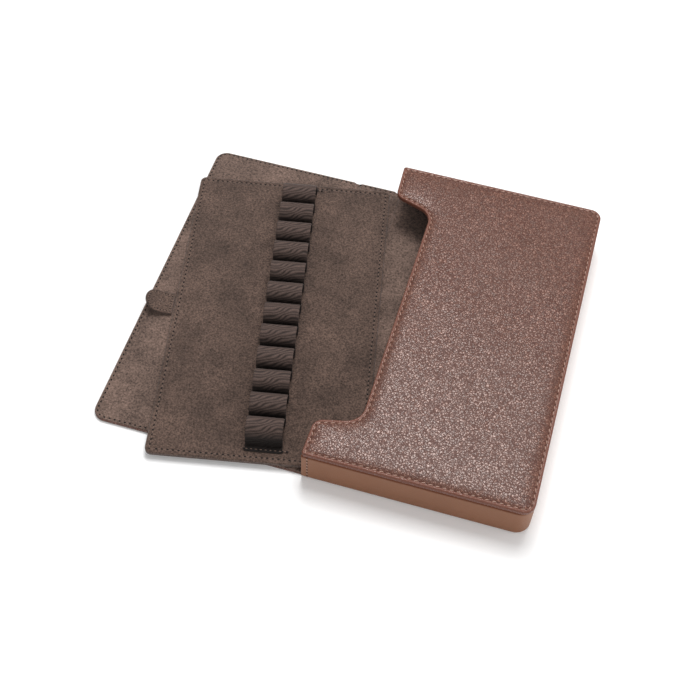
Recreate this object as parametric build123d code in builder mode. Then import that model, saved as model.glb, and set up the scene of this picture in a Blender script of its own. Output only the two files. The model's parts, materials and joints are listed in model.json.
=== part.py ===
"""Pen case: a rigid leather sleeve with a notched padded top, a fold-over flap, and a
suede-faced tray of twelve pen loops that draws out of the sleeve's open side.

Millimetres. The origin is the centre of the sleeve's rest face, +Z is up, the sleeve
opens towards -X and its long side runs along Y."""
import os
from math import cos, degrees, radians, sin, tan

from build123d import *

os.makedirs("parts", exist_ok=True)

# Sleeve
SLEEVE_DEPTH = 152.0
SLEEVE_LENGTH = 262.0
WALL_HEIGHT = 26.0
CORNER_RADIUS = 10.0
LEATHER = 1.2
WALL_BOARD = 0.9
WALL_LINING = 0.5
HEM_WIDTH = 8.0
WALL_TOP_ROUND = 0.5

# Bottom panel of the sleeve, and the flap that carries on from it
PANEL_BOARD = 1.2
FLOOR_LINING = 0.6
CREASE_HALF = 2.5
CREASE_GAP = 0.3
CREASE_SLOPE = 1.6
FLAP_SIDE_INSET = 1.5
COVER_WIDTH = 115.0
COVER_CORNER_RADIUS = 9.0
FLAP_EDGE_ROUND = 0.5
LINING_INSET = 0.4

# Padded top panel
WELT = 1.6
WELT_BEVEL = 0.5
TOP_LINING = 0.6
TOP_BOARD = 2.2
TOP_CORNER_RADIUS = 8.0
TOP_EDGE_ROUND = 1.0
STITCH_MARGIN = 5.0
CROWN_RISE = 1.2
CROWN_SLOPE_ANGLE = 62.0
NOTCH_DEPTH_NEAR = 30.0
NOTCH_DEPTH_FAR = 30.5
NOTCH_TAB_NEAR = 27.4
NOTCH_TAB_FAR = 30.0
NOTCH_SLANT_NEAR = 7.2
NOTCH_SLANT_FAR = 9.7
NOTCH_TAB_LEAN_NEAR = 0.5
NOTCH_TAB_LEAN_FAR = 1.5
NOTCH_TAB_ROUND = 8.0
NOTCH_INNER_ROUND = 13.0
OPEN_CORNER_RADIUS = 2.0

# Closure magnets, hidden in the boards
MAGNET_DIAMETER = 12.0
MAGNET_FIT = 0.2
MAGNET_FROM_EDGE = 12.0
MAGNET_SPACING = 150.0

# Tray
TRAY_END_GAP = 4.65
TRAY_BACK_GAP = 0.8
TRAY_FRONT_GAP = 1.6
TRAY_LIFT = 0.3
TRAY_BACKING = 0.8
TRAY_BOARD = 1.6
TRAY_FACE = 0.8
TRAY_CORNER_RADIUS = 4.5
TRAY_EDGE_BEVEL = 0.6
TRAY_REACH = 40.0
TRAY_SWING = 11.2
TRAY_WALL_CLEARANCE = 2.3

# Pen loops, one strip sewn down between them
LOOP_COUNT = 12
LOOP_BORE = 14.4
LOOP_THICKNESS = 1.1
LOOP_WIDTH = 25.0
LOOP_FOOT = 2.4
LOOP_BORE_CENTRE = 7.6
LOOP_HEM = 4.0
LOOP_OFF_CENTRE = 5.0
LOOP_FAR_MARGIN = 4.3

# Pull tab on the tray's outer edge
TAB_WIDTH = 18.0
TAB_LENGTH = 21.0
TAB_THICKNESS = 1.6
TAB_RISE = 8.0
TAB_GAP = 0.3

# Levels, from the floor up
bottom_board_z = LEATHER
bottom_lining_z = LEATHER + PANEL_BOARD
floor_z = bottom_lining_z + FLOOR_LINING
top_seat_z = WALL_HEIGHT + WELT
top_lining_z = top_seat_z - TOP_LINING
top_skin_z = top_seat_z + TOP_BOARD
top_margin_z = top_skin_z + LEATHER

# Plan positions
half_depth = SLEEVE_DEPTH / 2
half_length = SLEEVE_LENGTH / 2
wall_thickness = LEATHER + WALL_BOARD + WALL_LINING
board_inset = LEATHER + WALL_BOARD
cavity_depth = SLEEVE_DEPTH - wall_thickness
cavity_length = SLEEVE_LENGTH - 2 * wall_thickness
first_crease_x = -half_depth - CREASE_HALF
spine_width = top_margin_z + CROWN_RISE
second_crease_x = first_crease_x - spine_width
flap_edge_x = second_crease_x - COVER_WIDTH
flap_half_length = half_length - FLAP_SIDE_INSET
crease_run = CREASE_HALF - CREASE_GAP / 2
past_opening = 20.0


def tub_outline(inset, left=-half_depth):
    """The sleeve's plan: open side straight, closed corners round, drawn in by inset."""
    right = half_depth - inset
    side = half_length - inset
    with BuildSketch(mode=Mode.PRIVATE) as outline:
        with BuildLine():
            FilletPolyline(
                (left, -side), (right, -side), (right, side), (left, side),
                radius=[0, CORNER_RADIUS - inset, CORNER_RADIUS - inset, 0],
                close=True,
            )
        make_face()
    return outline.sketch


def top_outline(inset=0.0):
    """The top panel's plan, with its finger notch on the open side."""
    near_tab_y = -half_length + NOTCH_TAB_NEAR
    far_tab_y = half_length - NOTCH_TAB_FAR
    near_depth_x = -half_depth + NOTCH_DEPTH_NEAR
    far_depth_x = -half_depth + NOTCH_DEPTH_FAR
    with BuildSketch(mode=Mode.PRIVATE) as outline:
        with BuildLine():
            FilletPolyline(
                (-half_depth, -half_length),
                (half_depth, -half_length),
                (half_depth, half_length),
                (-half_depth, half_length),
                (-half_depth + NOTCH_TAB_LEAN_FAR, far_tab_y),
                (far_depth_x, far_tab_y - NOTCH_SLANT_FAR),
                (near_depth_x, near_tab_y + NOTCH_SLANT_NEAR),
                (-half_depth + NOTCH_TAB_LEAN_NEAR, near_tab_y),
                radius=[
                    OPEN_CORNER_RADIUS, TOP_CORNER_RADIUS, TOP_CORNER_RADIUS,
                    OPEN_CORNER_RADIUS, NOTCH_TAB_ROUND, NOTCH_INNER_ROUND,
                    NOTCH_INNER_ROUND, NOTCH_TAB_ROUND,
                ],
                close=True,
            )
        make_face()
        if inset:
            offset(amount=-inset, kind=Kind.INTERSECTION)
    return outline.sketch


def save(piece, name):
    """Label a finished piece and write its file."""
    piece.part.label = name
    export_step(piece.part, f"parts/{name}.step")


def closed_sides(edges):
    """Of a level ring of edges, those that aren't on the open side."""
    return edges.filter_by(lambda edge: edge.center().X > -half_depth + 2 * LEATHER)


# Walls of the sleeve: leather turned under at the bottom and over the open ends
with BuildPart() as wall_pocket:
    with BuildSketch(Plane.XY.offset(LEATHER)):
        add(tub_outline(LEATHER, left=-half_depth + LEATHER))
    extrude(amount=WALL_HEIGHT)
    fillet(closed_sides(wall_pocket.edges().group_by(Axis.Z)[0]), radius=floor_z - LEATHER)

with BuildPart() as wall_leather:
    with BuildSketch():
        add(tub_outline(0))
    extrude(amount=WALL_HEIGHT)
    fillet(closed_sides(wall_leather.edges().group_by(Axis.Z)[0]), radius=floor_z)
    fillet(closed_sides(wall_leather.edges().group_by(Axis.Z)[-1]), radius=WALL_TOP_ROUND)
    add(wall_pocket.part, mode=Mode.SUBTRACT)
    with BuildSketch(Plane.XY.offset(LEATHER)):
        add(tub_outline(wall_thickness, left=-half_depth - past_opening))
    extrude(amount=WALL_HEIGHT, mode=Mode.SUBTRACT)
    with BuildSketch():
        add(tub_outline(HEM_WIDTH, left=-half_depth - past_opening))
    extrude(amount=LEATHER, mode=Mode.SUBTRACT)
save(wall_leather, "wall_leather")

with BuildPart() as wall_board:
    with BuildSketch(Plane.XY.offset(floor_z)):
        add(tub_outline(LEATHER, left=-half_depth + LEATHER))
        add(tub_outline(board_inset, left=-half_depth - past_opening), mode=Mode.SUBTRACT)
    extrude(amount=WALL_HEIGHT - floor_z)
save(wall_board, "wall_board")

with BuildPart() as wall_lining:
    with BuildSketch(Plane.XY.offset(floor_z)):
        add(tub_outline(board_inset, left=-half_depth + LEATHER))
        add(tub_outline(wall_thickness, left=-half_depth - past_opening), mode=Mode.SUBTRACT)
    extrude(amount=WALL_HEIGHT - floor_z)
save(wall_lining, "wall_lining")


def lining_profile(left, right, left_dips, right_dips):
    """Suede over a board, as a section along X: where it dips, it is sewn down at a crease."""
    low = bottom_board_z
    high = bottom_lining_z
    if left_dips:
        board_end = left + crease_run
        under = [(left, low), (board_end, low), (board_end, high)]
        over = [
            (left, low + FLOOR_LINING),
            (board_end - CREASE_SLOPE, low + FLOOR_LINING),
            (board_end + FLOOR_LINING, high + FLOOR_LINING),
        ]
    else:
        under = [(left, high)]
        over = [(left, high + FLOOR_LINING)]
    if right_dips:
        board_end = right - crease_run
        under += [(board_end, high), (board_end, low), (right, low)]
        over += [
            (board_end - FLOOR_LINING, high + FLOOR_LINING),
            (board_end + CREASE_SLOPE, low + FLOOR_LINING),
            (right, low + FLOOR_LINING),
        ]
    else:
        under += [(right, high)]
        over += [(right, high + FLOOR_LINING)]
    return under + over[::-1]


# Bottom of the sleeve, which carries on to the first crease
sleeve_end_x = first_crease_x + CREASE_GAP / 2
with BuildPart() as base_leather:
    with BuildSketch():
        add(tub_outline(HEM_WIDTH))
        with Locations(((sleeve_end_x - half_depth) / 2, 0)):
            Rectangle(-half_depth - sleeve_end_x, 2 * flap_half_length)
    extrude(amount=LEATHER)
save(base_leather, "base_leather")

with BuildPart() as base_board:
    with BuildSketch(Plane.XY.offset(bottom_board_z)):
        add(tub_outline(floor_z))
    extrude(amount=PANEL_BOARD)
save(base_board, "base_board")

with BuildPart() as base_lining:
    with BuildSketch(Plane.XZ):
        with BuildLine():
            Polyline(*lining_profile(sleeve_end_x, half_depth, True, False), close=True)
        make_face()
    extrude(amount=half_length, both=True)
    with BuildSketch():
        add(tub_outline(wall_thickness))
        with Locations(((sleeve_end_x - half_depth) / 2, 0)):
            Rectangle(-half_depth - sleeve_end_x, 2 * (flap_half_length - LINING_INSET))
    extrude(amount=WALL_HEIGHT, mode=Mode.INTERSECT)
save(base_lining, "base_lining")

# Welt between the walls and the top panel
with BuildPart() as top_welt:
    with BuildSketch(Plane.XY.offset(WALL_HEIGHT)):
        add(tub_outline(0))
    extrude(amount=WELT)
    chamfer(closed_sides(top_welt.edges().group_by(Axis.Z)[0]), length=WELT_BEVEL)
    chamfer(closed_sides(top_welt.edges().group_by(Axis.Z)[-1]), length=WELT_BEVEL)
    with BuildSketch(Plane.XY.offset(WALL_HEIGHT)):
        add(tub_outline(wall_thickness, left=-half_depth - past_opening))
    extrude(amount=WELT, mode=Mode.SUBTRACT)
save(top_welt, "top_welt")

# Top panel: padded leather turned down round a notched board
magnet_x = first_crease_x + COVER_WIDTH - MAGNET_FROM_EDGE
magnet_spots = [(magnet_x, -MAGNET_SPACING / 2), (magnet_x, MAGNET_SPACING / 2)]
with BuildPart() as top_board:
    with BuildSketch(Plane.XY.offset(top_seat_z)):
        add(top_outline(LEATHER))
        with Locations(*magnet_spots):
            Circle(MAGNET_DIAMETER / 2 + MAGNET_FIT, mode=Mode.SUBTRACT)
    extrude(amount=TOP_BOARD)
save(top_board, "top_board")

with BuildPart() as top_magnets:
    with BuildSketch(Plane.XY.offset(top_seat_z)):
        with Locations(*magnet_spots):
            Circle(MAGNET_DIAMETER / 2)
    extrude(amount=TOP_BOARD)
save(top_magnets, "top_magnets")

with BuildPart() as top_padding:
    with BuildSketch(Plane.XY.offset(top_skin_z)):
        add(top_outline(STITCH_MARGIN + LEATHER))
    extrude(amount=CROWN_RISE, taper=CROWN_SLOPE_ANGLE)
save(top_padding, "top_padding")

with BuildPart() as top_leather:
    with BuildSketch(Plane.XY.offset(top_seat_z)):
        add(top_outline())
    extrude(amount=TOP_BOARD + LEATHER)
    fillet(top_leather.edges().group_by(Axis.Z)[-1], radius=TOP_EDGE_ROUND)
    with BuildSketch(Plane.XY.offset(top_margin_z)):
        add(top_outline(STITCH_MARGIN))
    extrude(amount=CROWN_RISE, taper=CROWN_SLOPE_ANGLE)
    with BuildSketch(Plane.XY.offset(top_seat_z)):
        add(top_outline(LEATHER))
    extrude(amount=TOP_BOARD, mode=Mode.SUBTRACT)
    add(top_padding.part, mode=Mode.SUBTRACT)
save(top_leather, "top_leather")

with BuildPart() as top_lining:
    with BuildSketch(Plane.XY.offset(top_lining_z)):
        add(top_outline(LEATHER))
        add(tub_outline(wall_thickness), mode=Mode.INTERSECT)
    extrude(amount=TOP_LINING)
save(top_lining, "top_lining")

# Flap spine, between the two creases
spine_left_x = second_crease_x + CREASE_GAP / 2
spine_right_x = first_crease_x - CREASE_GAP / 2
spine_middle_x = (spine_left_x + spine_right_x) / 2
spine_board_width = spine_right_x - spine_left_x - 2 * crease_run
board_half_length = flap_half_length - LEATHER
with BuildPart() as spine_leather:
    with BuildSketch():
        with Locations((spine_middle_x, 0)):
            Rectangle(spine_right_x - spine_left_x, 2 * flap_half_length)
    extrude(amount=LEATHER)
    with BuildSketch(Plane.XY.offset(bottom_board_z)):
        with GridLocations(0, 2 * flap_half_length - LEATHER, 1, 2):
            with Locations((spine_middle_x, 0)):
                Rectangle(spine_board_width, LEATHER)
    extrude(amount=PANEL_BOARD)
save(spine_leather, "spine_leather")

with BuildPart() as spine_board:
    with BuildSketch(Plane.XY.offset(bottom_board_z)):
        with Locations((spine_middle_x, 0)):
            Rectangle(spine_board_width, 2 * board_half_length)
    extrude(amount=PANEL_BOARD)
save(spine_board, "spine_board")

with BuildPart() as spine_lining:
    with BuildSketch(Plane.XZ):
        with BuildLine():
            Polyline(*lining_profile(spine_left_x, spine_right_x, True, True), close=True)
        make_face()
    extrude(amount=flap_half_length - LINING_INSET, both=True)
save(spine_lining, "spine_lining")

# Flap cover, the part that folds over the top
cover_right_x = second_crease_x - CREASE_GAP / 2
cover_board_right_x = cover_right_x - crease_run


def cover_outline(inset, right=cover_right_x):
    """The cover's plan: straight at the crease, round at its two free corners."""
    left = flap_edge_x + inset
    side = flap_half_length - inset
    round_corner = COVER_CORNER_RADIUS - inset
    with BuildSketch(mode=Mode.PRIVATE) as outline:
        with BuildLine():
            FilletPolyline(
                (left, -side), (right, -side), (right, side), (left, side),
                radius=[round_corner, 0, 0, round_corner],
                close=True,
            )
        make_face()
    return outline.sketch


cover_magnet_x = flap_edge_x + MAGNET_FROM_EDGE
cover_magnet_spots = [(cover_magnet_x, -MAGNET_SPACING / 2), (cover_magnet_x, MAGNET_SPACING / 2)]
with BuildPart() as cover_leather:
    with BuildSketch():
        add(cover_outline(0))
    extrude(amount=LEATHER)
    underside = cover_leather.edges().group_by(Axis.Z)[0]
    free_rim = underside.filter_by(lambda edge: edge.center().X < cover_right_x - LEATHER)
    fillet(free_rim, radius=FLAP_EDGE_ROUND)
    with BuildSketch(Plane.XY.offset(bottom_board_z)):
        add(cover_outline(0, right=cover_board_right_x))
        add(cover_outline(LEATHER, right=cover_right_x), mode=Mode.SUBTRACT)
    extrude(amount=PANEL_BOARD)
save(cover_leather, "cover_leather")

with BuildPart() as cover_board:
    with BuildSketch(Plane.XY.offset(bottom_board_z)):
        add(cover_outline(LEATHER, right=cover_board_right_x))
        with Locations(*cover_magnet_spots):
            Circle(MAGNET_DIAMETER / 2 + MAGNET_FIT, mode=Mode.SUBTRACT)
    extrude(amount=PANEL_BOARD)
save(cover_board, "cover_board")

with BuildPart() as cover_magnets:
    with BuildSketch(Plane.XY.offset(bottom_board_z)):
        with Locations(*cover_magnet_spots):
            Circle(MAGNET_DIAMETER / 2)
    extrude(amount=PANEL_BOARD)
save(cover_magnets, "cover_magnets")

with BuildPart() as cover_lining:
    with BuildSketch(Plane.XZ):
        with BuildLine():
            Polyline(*lining_profile(flap_edge_x, cover_right_x, False, True), close=True)
        make_face()
    extrude(amount=half_length, both=True)
    with BuildSketch():
        add(cover_outline(LINING_INSET))
    extrude(amount=WALL_HEIGHT, mode=Mode.INTERSECT)
save(cover_lining, "cover_lining")

# Tray, drawn out and turned as it lies beside the sleeve
tray_length = cavity_length - 2 * TRAY_END_GAP
tray_width = cavity_depth - TRAY_BACK_GAP - TRAY_FRONT_GAP
tray_corner_x = -half_depth + TRAY_REACH
near_wall_y = -half_length + wall_thickness
tray_corner_y = near_wall_y + TRAY_WALL_CLEARANCE + TRAY_REACH * tan(radians(TRAY_SWING))
tray_plane = Plane(
    origin=(tray_corner_x, tray_corner_y, floor_z + TRAY_LIFT),
    x_dir=(cos(radians(TRAY_SWING)), sin(radians(TRAY_SWING)), 0),
    z_dir=(0, 0, 1),
)
tray_board_z = TRAY_BACKING
tray_top_z = tray_board_z + TRAY_BOARD + TRAY_FACE


def tray_outline(inset):
    """The tray's plan, measured from its inner near corner."""
    with BuildSketch(mode=Mode.PRIVATE) as outline:
        with Locations((-tray_width / 2, tray_length / 2)):
            RectangleRounded(
                tray_width - 2 * inset, tray_length - 2 * inset, TRAY_CORNER_RADIUS - inset
            )
    return outline.sketch


with BuildPart() as tray_backing:
    with BuildSketch(tray_plane):
        add(tray_outline(0))
    extrude(amount=TRAY_BACKING)
save(tray_backing, "tray_backing")

with BuildPart() as tray_board:
    with BuildSketch(tray_plane.offset(tray_board_z)):
        add(tray_outline(TRAY_FACE))
    extrude(amount=TRAY_BOARD)
save(tray_board, "tray_board")

with BuildPart() as tray_face:
    with BuildSketch(tray_plane.offset(tray_board_z)):
        add(tray_outline(0))
    extrude(amount=TRAY_BOARD + TRAY_FACE)
    chamfer(tray_face.edges().group_by(Axis.Z)[-1], length=TRAY_EDGE_BEVEL)
    with BuildSketch(tray_plane.offset(tray_board_z)):
        add(tray_outline(TRAY_FACE))
    extrude(amount=TRAY_BOARD, mode=Mode.SUBTRACT)
save(tray_face, "tray_face")

# Pen loops: arches of one strip, sewn to the tray between the pens. Loop 1 is at the far end.
loop_outer_radius = LOOP_BORE / 2 + LOOP_THICKNESS
loop_pitch = 2 * loop_outer_radius + LOOP_FOOT
loop_middle_x = -tray_width / 2 + LOOP_OFF_CENTRE
first_loop_y = tray_length - LOOP_FAR_MARGIN - LOOP_HEM - loop_pitch / 2
for number in range(1, LOOP_COUNT + 1):
    loop_y = first_loop_y - (number - 1) * loop_pitch
    near_reach = loop_pitch / 2 + (LOOP_HEM if number == LOOP_COUNT else 0)
    far_reach = loop_pitch / 2 + (LOOP_HEM if number == 1 else 0)
    loop_plane = Plane(
        origin=tray_plane.from_local_coords((loop_middle_x, loop_y, tray_top_z)),
        x_dir=tray_plane.y_dir,
        z_dir=tray_plane.x_dir,
    )
    with BuildPart() as loop:
        with BuildSketch(loop_plane):
            with Locations(((far_reach - near_reach) / 2, LOOP_THICKNESS / 2)):
                Rectangle(near_reach + far_reach, LOOP_THICKNESS)
            with Locations((0, LOOP_BORE_CENTRE / 2)):
                Rectangle(2 * loop_outer_radius, LOOP_BORE_CENTRE)
            with Locations((0, LOOP_BORE_CENTRE)):
                Circle(loop_outer_radius)
                Circle(LOOP_BORE / 2, mode=Mode.SUBTRACT)
            with Locations((0, LOOP_BORE_CENTRE / 2)):
                Rectangle(LOOP_BORE, LOOP_BORE_CENTRE, mode=Mode.SUBTRACT)
            # Nothing of the arch goes below the tray's face
            with Locations((0, -loop_pitch / 2)):
                Rectangle(2 * loop_pitch, loop_pitch, mode=Mode.SUBTRACT)
        extrude(amount=LOOP_WIDTH / 2, both=True)
    save(loop, f"loop_{number:02d}")

# Pull tab: a round-ended double layer that stands out of the tray's edge and curls up
tab_arc = 2 * TAB_RISE / TAB_LENGTH
tab_pivot_x = -tray_width - TAB_GAP - TAB_THICKNESS / 2
tab_middle_y = tray_length / 2
tab_plane = Plane(
    origin=tray_plane.from_local_coords(
        (tab_pivot_x, tab_middle_y, tray_board_z + TRAY_BOARD / 2)
    ),
    x_dir=-tray_plane.x_dir,
    z_dir=tray_plane.y_dir,
)
with BuildPart() as pull_tab:
    with BuildSketch(tab_plane):
        with BuildLine():
            JernArc(
                start=(0, 0), tangent=(1, 0),
                radius=TAB_LENGTH / tab_arc, arc_size=degrees(tab_arc),
            )
        trace(line_width=TAB_THICKNESS)
        Circle(TAB_THICKNESS / 2)
    extrude(amount=TAB_WIDTH / 2, both=True)
    round_end_x = tab_pivot_x - TAB_LENGTH * cos(tab_arc / 2) + TAB_WIDTH / 2
    with BuildSketch(tray_plane.offset(-TAB_LENGTH)):
        with Locations((round_end_x, tab_middle_y)):
            Circle(TAB_WIDTH / 2)
        with Locations((round_end_x + TAB_LENGTH / 2, tab_middle_y)):
            Rectangle(TAB_LENGTH, TAB_WIDTH)
    extrude(amount=2 * TAB_LENGTH, mode=Mode.INTERSECT)
save(pull_tab, "pull_tab")
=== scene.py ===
"""Pen case: the leather, suede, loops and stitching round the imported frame.

Lengths in the settings are metres. Shapes that repeat the frame's plan are in millimetres
and are turned into metres by MM."""
import json
import math

import bpy
from bpy.props import FloatProperty, FloatVectorProperty, IntProperty, PointerProperty
from mathutils import Matrix, Vector
from mathutils.bvhtree import BVHTree
from mathutils.geometry import delaunay_2d_cdt


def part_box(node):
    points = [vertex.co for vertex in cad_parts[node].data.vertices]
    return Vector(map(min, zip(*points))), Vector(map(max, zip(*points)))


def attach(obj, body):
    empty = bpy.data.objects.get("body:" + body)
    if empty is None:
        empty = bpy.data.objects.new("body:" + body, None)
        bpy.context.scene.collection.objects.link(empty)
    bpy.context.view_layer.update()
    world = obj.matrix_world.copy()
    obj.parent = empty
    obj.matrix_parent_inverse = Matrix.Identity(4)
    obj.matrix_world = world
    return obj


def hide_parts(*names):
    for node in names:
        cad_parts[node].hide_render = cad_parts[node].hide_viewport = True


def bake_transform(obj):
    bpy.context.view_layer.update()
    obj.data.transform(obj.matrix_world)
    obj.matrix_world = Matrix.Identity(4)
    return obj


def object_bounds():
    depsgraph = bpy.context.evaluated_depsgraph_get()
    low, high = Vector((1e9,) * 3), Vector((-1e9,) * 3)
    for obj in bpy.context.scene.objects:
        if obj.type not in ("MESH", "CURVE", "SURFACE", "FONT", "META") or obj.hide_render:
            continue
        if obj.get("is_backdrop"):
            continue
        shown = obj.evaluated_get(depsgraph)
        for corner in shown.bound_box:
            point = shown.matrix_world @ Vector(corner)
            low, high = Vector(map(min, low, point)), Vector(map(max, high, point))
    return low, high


bl_info = {
    "name": "Pen case",
    "version": (1, 0, 0),
    "blender": (4, 5, 0),
    "location": "3D View > Sidebar > Pen case",
    "description": "Builds a leather pen case with a suede tray of loops",
    "category": "Add Mesh",
}

MM = 0.001
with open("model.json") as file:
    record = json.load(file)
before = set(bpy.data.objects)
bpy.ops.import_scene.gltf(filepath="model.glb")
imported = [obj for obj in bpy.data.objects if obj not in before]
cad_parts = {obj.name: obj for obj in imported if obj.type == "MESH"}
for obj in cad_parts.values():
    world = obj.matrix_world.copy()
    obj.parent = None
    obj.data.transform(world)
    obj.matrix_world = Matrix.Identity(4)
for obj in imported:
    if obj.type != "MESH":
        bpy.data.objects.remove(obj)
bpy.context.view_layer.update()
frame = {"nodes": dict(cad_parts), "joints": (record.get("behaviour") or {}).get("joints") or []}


def joint(name):
    """The record of one joint."""
    return next(j for j in frame["joints"] if j["name"] == name)


# Places that the frame gives
PANEL_LOW, PANEL_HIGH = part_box("top_leather")
FLOOR_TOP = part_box("base_lining")[1].z
FLAP_LOW, FLAP_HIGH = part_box("cover_lining")
LEATHER_LOW, LEATHER_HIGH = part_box("cover_leather")
BACKING_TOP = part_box("tray_backing")[1].z
TRAY_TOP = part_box("tray_face")[1].z
FIRST_CREASE = joint("spine_fold")["pos_m"][0]
SECOND_CREASE = joint("cover_fold")["pos_m"][0]
TRAY_ANGLE = -math.radians(joint("tray_draw")["range_deg"][0])
TAB_PIVOT = Vector(joint("tab_lift")["pos_m"])

# Sizes that the frame's solids share
TRAY_CORNER = 4.5 * MM
LOOP_NODES = sorted(name for name in frame["nodes"] if name.startswith("loop_"))
LOOP_THICKNESS = 1.1 * MM
LOOP_WIDTH = 25.0 * MM
LOOP_HEM = 4.0 * MM
NOTCH_TABS = {"near": 27.4 * MM, "far": 30.0 * MM}
NOTCH_DEPTHS = {"near": 30.0 * MM, "far": 30.5 * MM}
NOTCH_SLANTS = {"near": 7.2 * MM, "far": 9.7 * MM}
NOTCH_LEANS = {"near": 0.5 * MM, "far": 1.5 * MM}


def tray_size():
    """Width and length of the turned tray, from the box of its face."""
    low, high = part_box("tray_face")
    across = high.x - low.x - 2 * TRAY_CORNER
    along = high.y - low.y - 2 * TRAY_CORNER
    c, s = math.cos(TRAY_ANGLE), math.sin(TRAY_ANGLE)
    scale = c * c - s * s
    width = (across * c - along * s) / scale + 2 * TRAY_CORNER
    length = (along * c - across * s) / scale + 2 * TRAY_CORNER
    return width, length


TRAY_WIDTH, TRAY_LENGTH = tray_size()


def tray_matrix():
    """From the tray's own plan, with its middle at the origin, to the frame."""
    low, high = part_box("tray_face")
    middle = ((low + high) / 2).xy.to_3d()
    return Matrix.Translation(middle) @ Matrix.Rotation(TRAY_ANGLE, 4, "Z")


def colour_setting(name, description, default):
    """A colour in a group of settings."""
    return FloatVectorProperty(name=name, description=description, default=default,
                               subtype="COLOR", min=0, max=1)


def length_setting(name, description, millimetres):
    """A length in a group of settings."""
    return FloatProperty(name=name, description=description, default=millimetres * MM,
                         unit="LENGTH")


def angle_setting(name, description, degrees):
    """An angle in a group of settings."""
    return FloatProperty(name=name, description=description, default=math.radians(degrees),
                         subtype="ANGLE")


class PenCaseLeather(bpy.types.PropertyGroup):
    """Sizes and colours of the leather."""

    grained: colour_setting("Grained leather", "Colour of the padded top", (0.155, 0.064, 0.041))
    smooth: colour_setting("Smooth leather", "Colour of the walls", (0.270, 0.116, 0.059))
    pebble: length_setting("Pebble", "Distance between two pebbles of the grain", 1.55)
    crown: length_setting("Crown", "How far the padding stands over the sewn margin", 1.25)


class PenCaseSuede(bpy.types.PropertyGroup):
    """Colours of the suede."""

    lining: colour_setting("Lining", "Colour of the flap's suede", (0.150, 0.100, 0.080))
    tray: colour_setting("Tray", "Colour of the tray's suede", (0.098, 0.063, 0.049))
    nap: length_setting("Nap", "Size of the coarsest specks in the suede", 1.2)


class PenCaseLoops(bpy.types.PropertyGroup):
    """Sizes and colour of the pen loops."""

    colour: colour_setting("Band", "Colour of the loops", (0.100, 0.065, 0.054))
    rib: length_setting("Rib", "Distance between two ribs of the band", 2.3)
    relief: length_setting("Relief", "Height of the ribs", 0.5)
    steps: IntProperty(name="Steps", description="Divisions of the band across its width",
                       default=56, min=8)


class PenCaseStitches(bpy.types.PropertyGroup):
    """Sizes of the stitches."""

    pitch: length_setting("Pitch", "Length of a stitch and its hole", 3.7)
    thread: length_setting("Thread", "Thickness of the thread", 0.7)
    margin: length_setting("Margin", "Distance of the tray's seam from its edge, which the "
                           "other seams take a share of", 3.2)


class PenCaseStage(bpy.types.PropertyGroup):
    """Camera and light."""

    azimuth: angle_setting("Azimuth", "Turn of the camera about the case", 13.93)
    elevation: angle_setting("Elevation", "Height of the camera as an angle", 55.18)
    roll: angle_setting("Roll", "Turn of the camera about its own view", 2.68)
    lens: FloatProperty(name="Lens", description="Focal length in millimetres", default=62.52)
    place: FloatVectorProperty(name="Place", description="Where the camera stands",
                               default=(0.04501, -0.50137, 0.70797), subtype="TRANSLATION")
    light: FloatProperty(name="Light", description="Strength of the key lamp", default=15.0)


# Mesh helpers


def mesh_object(name, points, faces, matrix=None):
    """A smooth-shaded mesh with its place in its points."""
    mesh = bpy.data.meshes.new(name)
    mesh.from_pydata([tuple(p) for p in points], [], faces)
    if matrix is not None:
        mesh.transform(matrix)
    mesh.polygons.foreach_set("use_smooth", [True] * len(mesh.polygons))
    mesh.validate()
    mesh.update()
    made = bpy.data.objects.new(name, mesh)
    bpy.context.scene.collection.objects.link(made)
    return made


def paint(piece, name, values):
    """Store a value for each point of a piece, for its material to read."""
    layer = piece.data.attributes.new(name, "FLOAT", "POINT")
    layer.data.foreach_set("value", values)


def inset_outline(corners, inset, spacing, arc_steps):
    """Points anticlockwise round a polygon with rounded corners, drawn in by inset.

    A corner is (x, y, radius). Each inset gives as many points, so rings join one to one."""
    count = len(corners)
    plan = [Vector(corner[:2]) for corner in corners]
    along = [(plan[(i + 1) % count] - plan[i]).normalized() for i in range(count)]
    inward = [Vector((-d.y, d.x)) for d in along]
    tips, reaches, centres, turns = [], [], [], []
    for i in range(count):
        before, after = along[i - 1], along[i]
        turn = math.atan2(before.cross(after), before.dot(after))
        half = abs(turn) / 2
        tip = plan[i] + (inward[i - 1] + inward[i]) * inset / (1 + math.cos(turn))
        grow = inset if turn < 0 else -inset
        radius = max(corners[i][2] + grow, 0.15 * MM)
        tips.append(tip)
        turns.append(turn)
        reaches.append(radius * math.tan(half))
        middle = (inward[i - 1] + inward[i]).normalized() * math.copysign(1, turn)
        centres.append((tip + middle * radius / math.cos(half), radius))
    points = []
    for i in range(count):
        centre, radius = centres[i]
        start = tips[i] - along[i - 1] * reaches[i] - centre
        for step in range(arc_steps + 1):
            spin = Matrix.Rotation(turns[i] * step / arc_steps, 2)
            points.append(centre + spin @ start)
        straight = (plan[(i + 1) % count] - plan[i]).length
        pieces = max(2, round(straight / spacing))
        first = tips[i] + along[i] * reaches[i]
        last = tips[(i + 1) % count] - along[i] * reaches[(i + 1) % count]
        points += [first.lerp(last, step / pieces) for step in range(1, pieces)]
    return points


def ring_lengths(points):
    """Distance along a closed line of points, and its whole length."""
    lengths, total = [], 0.0
    for i, point in enumerate(points):
        lengths.append(total)
        total += (points[(i + 1) % len(points)] - point).length
    return lengths, total


def inside(point, outline):
    """Whether a point lies in a closed outline."""
    odd = False
    for a, b in zip(outline, outline[1:] + outline[:1]):
        if (a.y > point.y) != (b.y > point.y):
            if point.x < (b.x - a.x) * (point.y - a.y) / (b.y - a.y) + a.x:
                odd = not odd
    return odd


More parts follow.
